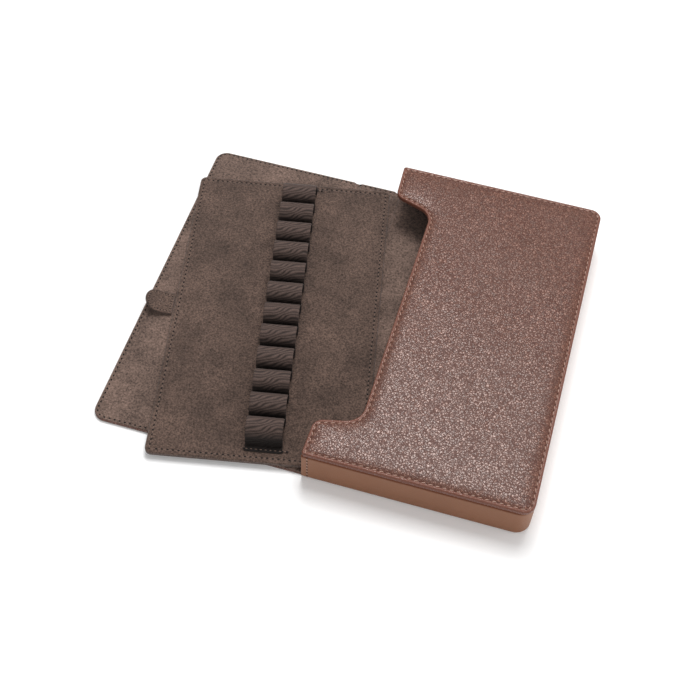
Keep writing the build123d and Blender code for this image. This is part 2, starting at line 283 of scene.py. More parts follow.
def fill_inside(outline, spacing, keep_off):
    """Triangles inside a closed outline, with evenly spaced points of their own."""
    xs, ys = [p.x for p in outline], [p.y for p in outline]
    own = []
    row = 0
    y = min(ys) + spacing / 2
    while y < max(ys):
        x = min(xs) + (spacing / 2 if row % 2 else spacing)
        while x < max(xs):
            spot = Vector((x, y))
            if inside(spot, outline) and min((spot - p).length for p in outline) > keep_off:
                own.append(spot)
            x += spacing
        y += spacing * math.sqrt(3) / 2
        row += 1
    count = len(outline)
    edges = [(i, (i + 1) % count) for i in range(count)]
    points, _, faces, origins, _, _ = delaunay_2d_cdt(outline + own, edges, [], 1, 1e-9)
    return points, faces, origins


def ring_faces(levels, count):
    """Faces between closed rings of count points each."""
    faces = []
    for start in range(0, (levels - 1) * count, count):
        for i in range(count):
            a, b = start + i, start + (i + 1) % count
            faces.append((a, b, b + count, a + count))
    return faces


def panel(name, corners, profile, height_at, spacing, arc_steps, fill, matrix=None):
    """A panel with shaped edges. The profile runs (inset, height) from under the rim, round it
    and up to the flat, and height_at(x, y, inset, run) adds the fine shape."""
    points, puffs = [], []
    rings = [inset_outline(corners, inset, spacing, arc_steps) for inset, _ in profile]
    count = len(rings[0])
    run, whole = ring_lengths(rings[0])
    for ring, (inset, height) in zip(rings, profile):
        for spot, distance in zip(ring, run):
            extra = height_at(spot.x, spot.y, inset, distance / whole)
            points.append((spot.x, spot.y, height + extra))
            puffs.append(smooth_step(1.2 * MM, 4.0 * MM, inset))
    faces = ring_faces(len(profile), count)
    top_start = (len(profile) - 1) * count
    height = profile[-1][1]
    # A metre stands for a place far inside the rim
    far_inside = 1.0
    spots, triangles, origins = fill_inside(rings[-1], fill, fill * 0.6)
    numbers = []
    for spot, origin in zip(spots, origins):
        if origin and min(origin) < count:
            numbers.append(top_start + min(origin))
        else:
            numbers.append(len(points))
            points.append((spot.x, spot.y, height + height_at(spot.x, spot.y, far_inside, 0.0)))
            puffs.append(1.0)
    faces += [tuple(numbers[i] for i in face) for face in triangles]
    under = [tuple(reversed(range(count)))]
    made = mesh_object(name, points, faces + under, matrix)
    paint(made, "puff", puffs)
    return made


def smooth_step(low, high, value):
    """0 below low, 1 above high and smooth between."""
    t = min(1.0, max(0.0, (value - low) / (high - low)))
    return t * t * (3 - 2 * t)


def swell(x, y, wave):
    """A slow rise and fall of about one each way, for surfaces that aren't dead flat."""
    u, v = x / wave, y / wave
    return 0.5 * (math.sin(2.1 * u + 0.6 * math.sin(1.3 * v)) + math.sin(1.7 * v + 1.1 * u + 0.8))


def blown_sheet(outline, spacing, frames=20):
    """Cloth held along an outline and lifted by pressure, and a function that gives its height."""
    scene = bpy.context.scene
    # Cloth works best at the size of a cushion, so the sheet is simulated enlarged
    enlarged = 10.0
    spots, triangles, _ = fill_inside(outline, spacing, spacing * 0.6)
    points = [(spot.x * enlarged, spot.y * enlarged, 0.0) for spot in spots]
    sheet = mesh_object("padding_sheet", points, [tuple(face) for face in triangles])
    sheet.vertex_groups.new(name="Seam").add(list(range(len(outline))), 1.0, "REPLACE")
    cloth = sheet.modifiers.new("Cloth", "CLOTH")
    cloth.settings.vertex_group_mass = "Seam"
    cloth.settings.use_pressure = True
    cloth.settings.uniform_pressure_force = 4.0
    cloth.settings.effector_weights.gravity = 0.0
    cloth.point_cache.frame_end = frames
    for number in range(1, frames + 1):
        scene.frame_set(number)
    graph = bpy.context.evaluated_depsgraph_get()
    shaped = bpy.data.meshes.new_from_object(sheet.evaluated_get(graph))
    tree = BVHTree.FromPolygons(
        [v.co for v in shaped.vertices], [p.vertices for p in shaped.polygons])
    bpy.data.objects.remove(sheet)
    bpy.data.meshes.remove(shaped)
    scene.frame_set(1)

    def height(x, y):
        hit = tree.ray_cast(Vector((x * enlarged, y * enlarged, 10.0)), Vector((0, 0, -1)))[0]
        return max(0.0, hit.z / enlarged) if hit else 0.0

    return height


# Materials


def new_material(name):
    """A node material, and its shader."""
    material = bpy.data.materials.new(name)
    material.use_nodes = True
    tree = material.node_tree
    return material, tree, tree.nodes["Principled BSDF"]


def wire(tree, made, inputs):
    """Set a node's inputs by name or number: an output socket is linked, a value is put in."""
    for key, value in inputs.items():
        if hasattr(value, "is_output"):
            tree.links.new(value, made.inputs[key])
        else:
            made.inputs[key].default_value = value


def node(tree, kind, inputs=None, **properties):
    """A node with its properties, then its inputs."""
    made = tree.nodes.new(kind)
    for key, value in properties.items():
        setattr(made, key, value)
    wire(tree, made, inputs or {})
    return made


def maths(tree, operation, first, second=0.0):
    """A maths node of two values or sockets."""
    return node(tree, "ShaderNodeMath", {0: first, 1: second}, operation=operation).outputs[0]


def linear(tree, start, value, factor):
    """A start plus a value times a factor."""
    return maths(tree, "ADD", start, maths(tree, "MULTIPLY", value, factor))


def vector_maths(tree, operation, inputs):
    """The vector that a vector maths node gives."""
    return node(tree, "ShaderNodeVectorMath", inputs, operation=operation).outputs[0]


def mix_colour(tree, share, first, second):
    """Blend two colours or sockets by a share."""
    first, second = (c if hasattr(c, "is_output") else (*c, 1) for c in (first, second))
    made = node(tree, "ShaderNodeMix", {0: share, 6: first, 7: second}, data_type="RGBA")
    return made.outputs[2]


def ramp(tree, value, low, high):
    """A value stretched so that low becomes 0 and high becomes 1."""
    inputs = {"Value": value, "From Min": low, "From Max": high}
    return node(tree, "ShaderNodeMapRange", inputs).outputs[0]


def node_group(name, kind, sockets, build):
    """A node group with sockets of (name, way, type), built once."""
    if name not in bpy.data.node_groups:
        group = bpy.data.node_groups.new(name, kind)
        for label, way, socket in sockets:
            group.interface.new_socket(name=label, in_out=way, socket_type="NodeSocket" + socket)
        entry, result = group.nodes.new("NodeGroupInput"), group.nodes.new("NodeGroupOutput")
        build(group, entry.outputs, result)
    return bpy.data.node_groups[name]


def shader_group(name, inputs, outputs, build):
    """A shader group that gives values for a place."""
    sockets = [("Vector", "INPUT", "Vector")]
    sockets += [(label, "INPUT", "Float") for label in inputs]
    sockets += [(label, "OUTPUT", "Float") for label in outputs]
    return node_group(name, "ShaderNodeTree", sockets, build)


def place_group(tree, group, **values):
    """The outputs of a group in a material, with its inputs set, over Object coordinates."""
    spot = tree.nodes.new("ShaderNodeTexCoord").outputs["Object"]
    return node(tree, "ShaderNodeGroup", {"Vector": spot, **values}, node_tree=group).outputs


def build_pebbles(group, entry, result):
    """Rounded pebbles of uneven size with sunken creases between them."""
    spot, density = entry["Vector"], entry["Density"]
    wobble = node(group, "ShaderNodeTexNoise", {
        "Vector": spot, "Scale": maths(group, "MULTIPLY", density, 0.9), "Detail": 1.0,
    })
    shift = vector_maths(group, "SUBTRACT", {0: wobble.outputs["Color"], 1: (0.5, 0.5, 0.5)})
    shift = vector_maths(group, "SCALE", {0: shift, "Scale": maths(group, "DIVIDE", 1.5, density)})
    moved = vector_maths(group, "ADD", {0: spot, 1: shift})
    inputs = {"Vector": moved, "Scale": density}
    cells, domes = (
        node(group, "ShaderNodeTexVoronoi", inputs, feature=kind).outputs
        for kind in ("DISTANCE_TO_EDGE", "F1")
    )
    crease = ramp(group, cells["Distance"], 0.01, 0.22)
    fall = maths(group, "MULTIPLY", domes["Distance"], domes["Distance"])
    dome = maths(group, "SUBTRACT", 1.0, fall)
    wire(group, result, {
        "Height": linear(group, maths(group, "MULTIPLY", crease, 0.4), dome, 0.6),
        "Pebble": crease,
        "Shade": node(group, "ShaderNodeSeparateColor", {0: domes["Color"]}).outputs[0],
    })


def pebbles():
    """The grain of pressed leather."""
    return shader_group(
        "Leather pebbles", ["Density"], ["Height", "Pebble", "Shade"], build_pebbles)


def build_mottle(group, entry, result):
    """Slow patches and fine specks."""
    for size, label, rough, low, high in (
        ("Patches", "Patch", 0.55, 0.3, 0.7),
        ("Specks", "Speck", 0.7, 0.32, 0.68),
    ):
        noise = node(group, "ShaderNodeTexNoise", {
            "Vector": entry["Vector"], "Scale": entry[size], "Detail": 3.0, "Roughness": rough,
        })
        wire(group, result, {label: ramp(group, noise.outputs["Fac"], low, high)})


def mottle():
    """Uneven colour at two sizes."""
    return shader_group("Mottle", ["Patches", "Specks"], ["Patch", "Speck"], build_mottle)


def bump(tree, height, distance, strength):
    """The normal of a surface with a height."""
    inputs = {"Height": height, "Distance": distance, "Strength": strength}
    return node(tree, "ShaderNodeBump", inputs).outputs["Normal"]


def attribute(tree, name):
    """A value painted on the mesh."""
    return node(tree, "ShaderNodeAttribute", attribute_name=name).outputs["Fac"]


def tone(colour, *factors):
    """A colour times one factor, or times a factor for each channel."""
    return tuple(min(1.0, c * factor) for c, factor in zip(colour, factors * 3))


def grained_leather():
    """Pebbled leather: pebbles with painted highlights and satin tops, creases with painted shade,
    and a smooth border.
    """
    settings = bpy.context.scene.pen_case_leather
    colour = tuple(settings.grained)
    material, tree, shader = new_material("Grained leather")
    grain = place_group(tree, pebbles(), Density=1 / settings.pebble)
    patches = place_group(tree, mottle(), Patches=22.0)
    puff = attribute(tree, "puff")
    # Painted light on the grain: pebbles get a lighter colour, brighter at random from pebble to
    # pebble, as painted highlights and glints, and creases a dark colour as painted shade
    painted_highlight_colour = tone(colour, 0.93, 0.93, 0.88)
    pebble = mix_colour(tree, grain["Shade"], tone(painted_highlight_colour, 0.7), tone(painted_highlight_colour, 1.75))
    base = mix_colour(tree, grain["Pebble"], tone(colour, 0.4, 0.16, 0.1), pebble)
    cloud = maths(tree, "MULTIPLY", patches["Patch"], 0.3)
    base = mix_colour(tree, cloud, base, tone(colour, 0.75))
    relief = linear(tree, 0.3, puff, 0.7)
    crest = ramp(tree, grain["Height"], 0.55, 0.98)
    satin = linear(tree, 0.13, crest, linear(tree, 0.38, grain["Shade"], 0.25))
    wire(tree, shader, {
        "Base Color": mix_colour(tree, puff, tone(colour, 0.97, 0.75, 0.65), base),
        "Roughness": linear(tree, 0.75, grain["Pebble"], -0.4),
        "Specular IOR Level": 0.6,
        "Specular Tint": (1.0, 0.86, 0.82, 1.0),
        "Coat Weight": maths(tree, "MULTIPLY", satin, relief),
        "Coat Roughness": 0.3,
        "Normal": bump(tree, maths(tree, "MULTIPLY", grain["Height"], relief), 0.34 * MM, 1.0),
    })
    return material


def smooth_leather(name, colour, gloss):
    """Smooth leather with a faint fine grain."""
    pebble = bpy.context.scene.pen_case_leather.pebble
    material, tree, shader = new_material(name)
    grain = place_group(tree, pebbles(), Density=2.6 / pebble)
    patches = place_group(tree, mottle(), Patches=30.0, Specks=1400.0)
    cloud = maths(tree, "MULTIPLY", patches["Patch"], 0.5)
    base = mix_colour(tree, cloud, tone(colour, 1.06), tone(colour, 0.86))
    fleck = maths(tree, "MULTIPLY", patches["Speck"], 0.22)
    wire(tree, shader, {
        "Base Color": mix_colour(tree, fleck, base, tone(colour, 0.7)),
        "Roughness": 0.5,
        "Specular IOR Level": gloss,
        "Normal": bump(tree, grain["Height"], 0.08 * MM, 0.5),
    })
    return material


def suede(name, colour):
    """Napped suede: specks, brushed patches and a soft sheen."""
    nap = bpy.context.scene.pen_case_suede.nap
    material, tree, shader = new_material(name)
    uneven = place_group(tree, mottle(), Patches=48.0, Specks=1 / nap)
    speck = uneven["Speck"]
    dark = mix_colour(tree, speck, tone(colour, 0.25), tone(colour, 1.25))
    brushed = mix_colour(tree, speck, tone(colour, 0.4), tone(colour, 2.1))
    wire(tree, shader, {
        "Base Color": mix_colour(tree, uneven["Patch"], dark, brushed),
        "Roughness": 0.95,
        "Specular IOR Level": 0.2,
        "Sheen Weight": 0.25,
        "Sheen Roughness": 0.5,
        "Normal": bump(tree, speck, 0.25 * MM, 0.8),
    })
    return material


def loop_band():
    """The ribbed band of the loops, with painted shade between its ribs and on its flanks."""
    colour = tuple(bpy.context.scene.pen_case_loops.colour)
    material, tree, shader = new_material("Loop band")
    speck = place_group(tree, mottle(), Patches=90.0, Specks=1900.0)["Speck"]
    base = mix_colour(tree, speck, tone(colour, 0.65), tone(colour, 1.45))
    # Painted shade: the band is darkened between its ribs and down its flanks below the crown
    for label, dark in (("rib", 0.25), ("crown", 0.12)):
        base = mix_colour(tree, attribute(tree, label), tone(colour, dark), base)
    wire(tree, shader, {
        "Base Color": base,
        "Roughness": 0.72,
        "Specular IOR Level": 0.25,
        "Sheen Weight": 0.06,
        "Normal": bump(tree, speck, 0.12 * MM, 0.6),
    })
    return material


def plain_finish(name, colour, rough):
    """A quiet finish with slight unevenness, for thread, board and magnets."""
    material, tree, shader = new_material(name)
    speck = place_group(tree, mottle(), Patches=60.0, Specks=2500.0)["Speck"]
    base = mix_colour(tree, speck, tone(colour, 0.75), tone(colour, 1.2))
    wire(tree, shader, {"Base Color": base, "Roughness": rough})
    return material


def dress(names, material):
    """Give CAD nodes a material."""
    for name in names:
        mesh = frame["nodes"][name].data
        mesh.materials.clear()
        mesh.materials.append(material)


def finish_piece(piece, material, body, nodes=()):
    """Material, body and replaced nodes of a rigid piece."""
    piece.data.materials.clear()
    piece.data.materials.append(material)
    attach(piece, body)
    if nodes:
        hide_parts(*nodes)


FINISHES = {}


def finishes():
    """Every material, made once."""
    if not FINISHES:
        leather = bpy.context.scene.pen_case_leather
        cloth = bpy.context.scene.pen_case_suede
        FINISHES.update({
            "grained": grained_leather(),
            "smooth": smooth_leather("Smooth leather", tuple(leather.smooth), 0.35),
            "welt": smooth_leather("Welt leather", (0.17, 0.058, 0.03), 0.08),
            "lining": suede("Lining suede", tuple(cloth.lining)),
            "tray": suede("Tray suede", tuple(cloth.tray)),
            "band": loop_band(),
            "leather_thread": plain_finish("Leather thread", (0.52, 0.35, 0.28), 0.6),
            "suede_thread": plain_finish("Suede thread", tone(cloth.tray, 1.9), 0.75),
            # Painted shade: the stitch holes are dark beads on the surface
            "leather_hole": plain_finish("Leather hole shade", (0.075, 0.026, 0.015), 0.8),
            "suede_hole": plain_finish("Suede hole shade", tone(cloth.tray, 0.08), 0.9),
            "board": plain_finish("Board", (0.35, 0.3, 0.25), 0.9),
            "magnet": plain_finish("Magnet", (0.5, 0.5, 0.52), 0.35),
        })
    return FINISHES


# Stitches


def stitch_row(tree, entry, line, between, sizes, slanted, finish):
    """One row of beads along a line, at each pitch or half a pitch further on."""
    points = node(tree, "GeometryNodeCurveToPoints", {"Curve": line, "Length": entry["Pitch"]},
                  mode="LENGTH").outputs
    spots = points["Points"]
    if between:
        half = maths(tree, "MULTIPLY", entry["Pitch"], 0.5)
        ahead = vector_maths(tree, "SCALE", {0: points["Tangent"], "Scale": half})
        spots = node(tree, "GeometryNodeSetPosition",
                     {"Geometry": spots, "Offset": ahead}).outputs[0]
    turned = node(tree, "FunctionNodeAlignRotationToVector", {"Vector": points["Tangent"]},
                  axis="X").outputs[0]
    turned = node(tree, "FunctionNodeAlignRotationToVector",
                  {"Rotation": turned, "Vector": entry["Normal"]},
                  axis="Z", pivot_axis="X").outputs[0]
    if slanted:
        spin = node(tree, "FunctionNodeAxisAngleToRotation",
                    {"Axis": (0, 0, 1), "Angle": entry["Slant"]}).outputs[0]
        turned = node(tree, "FunctionNodeRotateRotation", {0: turned, 1: spin},
                      rotation_space="LOCAL").outputs[0]
    ball = node(tree, "GeometryNodeMeshUVSphere", {"Segments": 8, "Rings": 6, "Radius": 0.5})
    size = node(tree, "ShaderNodeCombineXYZ", {
        axis: maths(tree, "MULTIPLY", entry[label], factor)
        for axis, (label, factor) in enumerate(sizes)
    })
    beads = node(tree, "GeometryNodeInstanceOnPoints", {
        "Points": spots, "Instance": ball.outputs["Mesh"], "Rotation": turned,
        "Scale": size.outputs[0],
    })
    real = node(tree, "GeometryNodeRealizeInstances", {0: beads.outputs[0]}).outputs[0]
    return node(tree, "GeometryNodeSetMaterial",
                {"Geometry": real, "Material": entry[finish]}).outputs[0]


def build_stitches(tree, entry, result):
    """A sunk slanted stitch every pitch along a line, with a dark bead between that is the painted
    shade of its hole.
    """
    line = node(tree, "GeometryNodeMeshToCurve", {0: entry["Geometry"]}).outputs[0]
    joined = tree.nodes.new("GeometryNodeJoinGeometry")
    thread = (("Pitch", 0.6), ("Thread", 0.9), ("Thread", 0.8))
    # The hole is no opening but a flat dark bead of painted shade
    hole = (("Thread", 2.4), ("Thread", 2.0), ("Thread", 0.8))
    wire(tree, joined, {0: stitch_row(tree, entry, line, False, thread, True, "Thread finish")})
    wire(tree, joined, {0: stitch_row(tree, entry, line, True, hole, False, "Hole finish")})
    wire(tree, result, {0: joined.outputs[0]})


def stitch_tree():
    """The geometry nodes that sew."""
    sockets = (
        ("Geometry", "INPUT", "Geometry"), ("Pitch", "INPUT", "Float"),
        ("Thread", "INPUT", "Float"), ("Slant", "INPUT", "Float"), ("Normal", "INPUT", "Vector"),
        ("Thread finish", "INPUT", "Material"), ("Hole finish", "INPUT", "Material"),
        ("Geometry", "OUTPUT", "Geometry"),
    )
    return node_group("Stitches along a line", "GeometryNodeTree", sockets, build_stitches)


def sew(name, lines, body, look="suede", pitch=None, normal=(0, 0, 1), slant=0.0, thread=None):
    """Stitches along lines of points, as one plain mesh that rides on a body."""
    settings = bpy.context.scene.pen_case_stitches
    points, edges = [], []
    for line, closed in lines:
        start = len(points)
        points += [tuple(p) for p in line]
        edges += [(start + i, start + i + 1) for i in range(len(line) - 1)]
        if closed:
            edges.append((start + len(line) - 1, start))
    mesh = bpy.data.meshes.new(name)
    mesh.from_pydata(points, edges, [])
    guide = bpy.data.objects.new(name + "_guide", mesh)
    bpy.context.scene.collection.objects.link(guide)
    modifier = guide.modifiers.new("Stitches", "NODES")
    tree = stitch_tree()
    modifier.node_group = tree
    values = {
        "Pitch": pitch or settings.pitch,
        "Thread": thread or settings.thread,
        "Slant": slant,
        "Normal": normal,
        "Thread finish": finishes()[look + "_thread"],
        "Hole finish": finishes()[look + "_hole"],
    }
    for item in tree.interface.items_tree:
        if item.in_out == "INPUT" and item.name in values:
            modifier[item.identifier] = values[item.name]
    graph = bpy.context.evaluated_depsgraph_get()
    made = bpy.data.meshes.new_from_object(guide.evaluated_get(graph))
    bpy.data.objects.remove(guide)
    made.polygons.foreach_set("use_smooth", [True] * len(made.polygons))
    seam = bpy.data.objects.new(name, made)
    bpy.context.scene.collection.objects.link(seam)
    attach(seam, body)


# Pieces


def panel_corners():
    """The top panel's plan, with its finger notch on the open side."""
    left, right = PANEL_LOW.x, PANEL_HIGH.x
    near, far = PANEL_LOW.y, PANEL_HIGH.y
    near_tab, far_tab = near + NOTCH_TABS["near"], far - NOTCH_TABS["far"]
    open_round, closed_round, tab_round, inner_round = 2 * MM, 8 * MM, 8 * MM, 13 * MM
    return [
        (left, near, open_round),
        (right, near, closed_round),
        (right, far, closed_round),
        (left, far, open_round),
        (left + NOTCH_LEANS["far"], far_tab, tab_round),
        (left + NOTCH_DEPTHS["far"], far_tab - NOTCH_SLANTS["far"], inner_round),
        (left + NOTCH_DEPTHS["near"], near_tab + NOTCH_SLANTS["near"], inner_round),
        (left + NOTCH_LEANS["near"], near_tab, tab_round),
    ]


class PENCASE_OT_padded_top(bpy.types.Operator):
    """Grained leather drawn over the padded, notched top panel, and its seam"""

    bl_idname = "pen_case.padded_top"
    bl_label = "Padded top"

    def execute(self, context):
        leather = context.scene.pen_case_leather
        stitches = context.scene.pen_case_stitches
        base = PANEL_LOW.z
        seam_z = PANEL_HIGH.z - leather.crown - 0.12 * MM
        corners = panel_corners()
        seam_at = 0.75 * stitches.margin
        pitch = 4.6 * MM
        spacing, arc_steps = 1.1 * MM, 12
        profile = [(1.1, 0.9), (1.1, 0.0), (0.45, 0.0), (0.15, 0.15), (0.0, 0.5), (0.0, 1.5),
                   (0.0, 2.4), (0.08, 2.85), (0.3, 3.18), (0.65, 3.36), (1.0, 3.42), (1.4, 3.4),
                   (1.8, 3.32), (2.1, 3.2), (2.3, 3.08), (2.5, 3.08), (2.8, 3.24), (3.2, 3.36)]
        profile += [(inset, 3.4) for inset in (3.8, 4.6, 5.7, 7.0, 8.8, 11.0)]
        profile = [(inset * MM, base + height * MM) for inset, height in profile]
        _, whole = ring_lengths(inset_outline(corners, 0, spacing, arc_steps))
        waves = round(whole / pitch)

        blown = None
        blown = blown_sheet(inset_outline(corners, seam_at, 4 * MM, 5), 4.5 * MM)

        def lift(x, y, inset):
            """How far the padding lifts the leather: as the cloth does, up to the crown."""
            if inset <= seam_at:
                return 0.0
            free = blown(x, y) if blown else (inset - seam_at) / 3
            return leather.crown * math.tanh(free / leather.crown)

        def height_at(x, y, inset, run):
            """Lift, the puckers that the stitches draw in, and a slow swell of the padding."""
            near_seam = math.exp(-((inset - seam_at) / (1.6 * MM)) ** 2)
            pucker = 0.09 * MM * near_seam * math.cos(2 * math.pi * waves * run)
            rise = smooth_step(4 * MM, 16 * MM, inset)
            return lift(x, y, inset) + pucker + 0.12 * MM * rise * swell(x, y, 21 * MM)

        made = panel("padded_top", corners, profile, height_at, spacing, arc_steps, 4 * MM)
        finish_piece(made, finishes()["grained"], "sleeve", ["top_leather"])
        line = inset_outline(corners, seam_at, spacing, arc_steps)
        sew("padded_top_stitches", [([Vector((*p, seam_z)) for p in line], True)],
            "sleeve", "leather", pitch=pitch, slant=math.radians(12), thread=0.55 * MM)
        return {"FINISHED"}


class PENCASE_OT_sleeve(bpy.types.Operator):
    """Finishes of the sleeve's walls and inner layers, and the seams at its open ends"""

    bl_idname = "pen_case.sleeve"
    bl_label = "Sleeve"

    def execute(self, context):
        looks = finishes()
        dress(["wall_leather"], looks["smooth"])
        dress(["top_welt"], looks["welt"])
        dress(["wall_lining", "top_lining"], looks["lining"])
        hidden = ["wall_board", "base_board", "top_board", "top_padding", "spine_board",
                  "cover_board", "tray_board"]
        dress(hidden, looks["board"])
        dress(["top_magnets", "cover_magnets"], looks["magnet"])
        low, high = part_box("wall_leather")
        seam_x = low.x + 4 * MM
        foot, head = low.z + 2.2 * MM, high.z - 1.2 * MM
        for side, y, normal in (("near", low.y, -1), ("far", high.y, 1)):
            line = [Vector((seam_x, y, foot)), Vector((seam_x, y, head))]
            sew(f"wall_{side}_stitches", [(line, False)], "sleeve", "leather",
                normal=(0, normal, 0), slant=math.radians(6))
        return {"FINISHED"}


# Distances from the flap's long edges at which its section has points, in millimetres: close
# together round the rolled edge and the groove of the seam
FLAP_STEPS = (0, 0.04, 0.12, 0.25, 0.4, 0.7, 1.0, 1.2, 1.4, 1.6, 1.8,
              2.0, 2.2, 2.5, 2.9, 3.6, 4.8, 7, 10, 15, 21, 30)
# The same for the distances of its last sections from its free edge
EDGE_STEPS = (9.0, 7.5, 6.2, 5.2, 4.4, 3.6, 2.9, 2.5, 2.2, 2.0,
              1.8, 1.6, 1.4, 1.2, 0.9, 0.6, 0.4, 0.2, 0.08, 0.0)


def crease_dip(x):
    """Share of the dip at the two creases of the flap, from 0 on the boards to 1."""
    dip = 0.0
    for crease in (FIRST_CREASE, SECOND_CREASE):
        away = abs(x - crease)
        dip = max(dip, 1 - smooth_step(1.0 * MM, 3.4 * MM, away))
    return dip


def flap_columns(start, end):
    """Places along the flap where its section is drawn: close together at the creases."""
    columns = []
    x = start
    while x > end:
        columns.append(x)
        near_crease = min(abs(x - FIRST_CREASE), abs(x - SECOND_CREASE)) < 6 * MM
        x -= 0.5 * MM if near_crease else 4 * MM
    return columns + [end]


def rounded(value, inset, radius):
    """A value that falls in a quarter circle over the last radius before an edge."""
    if inset >= radius:
        return value
    return value - radius + math.sqrt(max(0.0, radius ** 2 - (radius - inset) ** 2))


def outline_inset(x, y, left, half, radius):
    """How far inside the flap's outline a point lies."""
    if x < left + radius and abs(y) > half - radius:
        return radius - math.hypot(left + radius - x, abs(y) - half + radius)
    return min(x - left, half - abs(y))


def section(x, half_here, low, under, surface):
    """One closed line across the flap: flat below and a shaped surface(x, y) above."""
    reach = half_here - 30 * MM
    ring = [Vector((x, side * (half_here - under), low)) for side in (-1, 1)]
    ring.append(Vector((x, half_here, low + under)))
    upper = [half_here - step * MM for step in FLAP_STEPS]
    upper += [reach * (1 - k / 8) for k in range(1, 8)]
    whole = upper + [0.0] + [-y for y in reversed(upper)]
    ring += [Vector((x, y, surface(x, y))) for y in whole]
    ring.append(Vector((x, -half_here, low + under)))
    return ring


def loft(name, rings):
    """A closed shell through rings of as many points each."""
    points = [p for ring in rings for p in ring]
    count = len(rings[0])
    start, end = tuple(reversed(range(count))), tuple(range(len(points) - count, len(points)))
    return mesh_object(name, points, [start, *ring_faces(len(rings), count), end])


class PENCASE_OT_flap(bpy.types.Operator):
    """Leather and suede that run from the sleeve's floor over both creases to the flap's edge"""

    bl_idname = "pen_case.flap"
    bl_label = "Flap"

    def execute(self, context):
        looks = finishes()
        spine_middle = (FIRST_CREASE + SECOND_CREASE) / 2
        half_flap = LEATHER_HIGH.y
        round_corner = 9 * MM
        opening = PANEL_LOW.x

        # Leather, as thick as leather and board on the panels and as leather alone at a crease
        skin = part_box("base_leather")
        board_z = LEATHER_HIGH.z
        dip = board_z - skin[1].z
        inner_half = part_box("wall_leather")[1].y - 8 * MM

        def leather_top(x, y):
            inset = outline_inset(x, y, LEATHER_LOW.x, half_flap, round_corner)
            return rounded(board_z - dip * crease_dip(x) - 0.02 * MM, inset, 0.35 * MM)

        def leather_ring(x, half):
            return section(x, half, LEATHER_LOW.z, 0.5 * MM, leather_top)

        def outer_rings(ring, left, half, corner):
            """From the middle of the spine to the free edge with its rounded corners."""
            edge = [left + step * MM for step in EDGE_STEPS]
            rings = [ring(x, half) for x in flap_columns(spine_middle, edge[0] + 1 * MM)]
            return rings + [ring(x, rounded(half, x - left, corner)) for x in edge]

        rings = [leather_ring(x, inner_half) for x in (skin[1].x, opening / 2, opening + 0.02 * MM)]
        rings += [leather_ring(x, half_flap) for x in flap_columns(opening, spine_middle)]
        base = loft("flap_leather_inner", rings)
        rings = outer_rings(leather_ring, LEATHER_LOW.x, half_flap, round_corner)
        cover = loft("flap_leather_outer", rings)

        # Suede, laid over the boards and sewn down at the creases
        suede_half = FLAP_HIGH.y
        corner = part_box("wall_lining")[1]
        right, cavity_half = corner.x - 0.5 * MM, corner.y - 0.5 * MM
        inner_corner = round_corner - 0.4 * MM
        margin = 0.55 * context.scene.pen_case_stitches.margin

        def suede_top(x, y):
            high = FLOOR_TOP - dip * crease_dip(x)
            if x > opening:
                return high
            inset = outline_inset(x, y, FLAP_LOW.x, suede_half, inner_corner)
            groove = math.exp(-((inset - margin) / (0.45 * MM)) ** 2)
            return rounded(high, inset, 0.4 * MM) - 0.18 * MM * groove

        def suede_ring(x, half):
            return section(x, half, board_z - dip * crease_dip(x), 0.05 * MM, suede_top)

        inner_round = 7.4 * MM
        rings = []
        for step in range(9):
            angle = math.pi / 2 * step / 8
            half = cavity_half - inner_round + inner_round * math.sin(angle)
            rings.append(suede_ring(right - inner_round * (1 - math.cos(angle)), half))
        columns = flap_columns(right - 8 * MM, opening + 0.05 * MM)
        rings += [suede_ring(x, cavity_half) for x in columns]
        rings += [suede_ring(x, suede_half) for x in flap_columns(opening, spine_middle)]
        floor = loft("flap_suede_inner", rings)
        rings = outer_rings(suede_ring, FLAP_LOW.x, suede_half, inner_corner)
        face = loft("flap_suede_outer", rings)

        first, second = (
            ((crease + 2.5 * MM, 0, 0), (crease - 2.5 * MM, 0, 0))
            for crease in (FIRST_CREASE, SECOND_CREASE)
        )
        inner, outer = ("sleeve", "flap_spine"), ("flap_spine", "flap_cover")
        for piece, look, bodies, ends, nodes in (
            (base, "grained", inner, first, ["base_leather"]),
            (cover, "grained", outer, second, ["spine_leather", "cover_leather"]),
            (floor, "lining", inner, first, ["base_lining"]),
            (face, "lining", outer, second, ["spine_lining", "cover_lining"]),
        ):
            piece.data.materials.append(looks[look])
            if look == "grained":
                paint(piece, "puff", [1.0] * len(piece.data.vertices))
            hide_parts(*nodes)
            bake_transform(piece)

        # Seams along the free edges
        side = suede_half - margin
        left = FLAP_LOW.x + margin
        z = FLOOR_TOP - 0.1 * MM
        turn = inner_corner - margin
        from_crease = 4 * MM
        arc = [math.pi / 2 * step / 8 for step in range(9)]
        arc = [(turn * math.sin(a), turn * math.cos(a)) for a in arc]
        line = [Vector((SECOND_CREASE - from_crease, side, z))]
        line += [Vector((left + turn - s, side - turn + c, z)) for s, c in arc]
        line += [Vector((left + turn - c, -side + turn - s, z)) for s, c in arc]
        line += [Vector((SECOND_CREASE - from_crease, -side, z))]
        sew("cover_stitches", [(line, False)], "flap_cover")
        ends = (FIRST_CREASE - from_crease, SECOND_CREASE + from_crease)
        lines = [([Vector((x, y, z)) for x in ends], False) for y in (-side, side)]
        sew("spine_stitches", lines, "flap_spine")
        return {"FINISHED"}


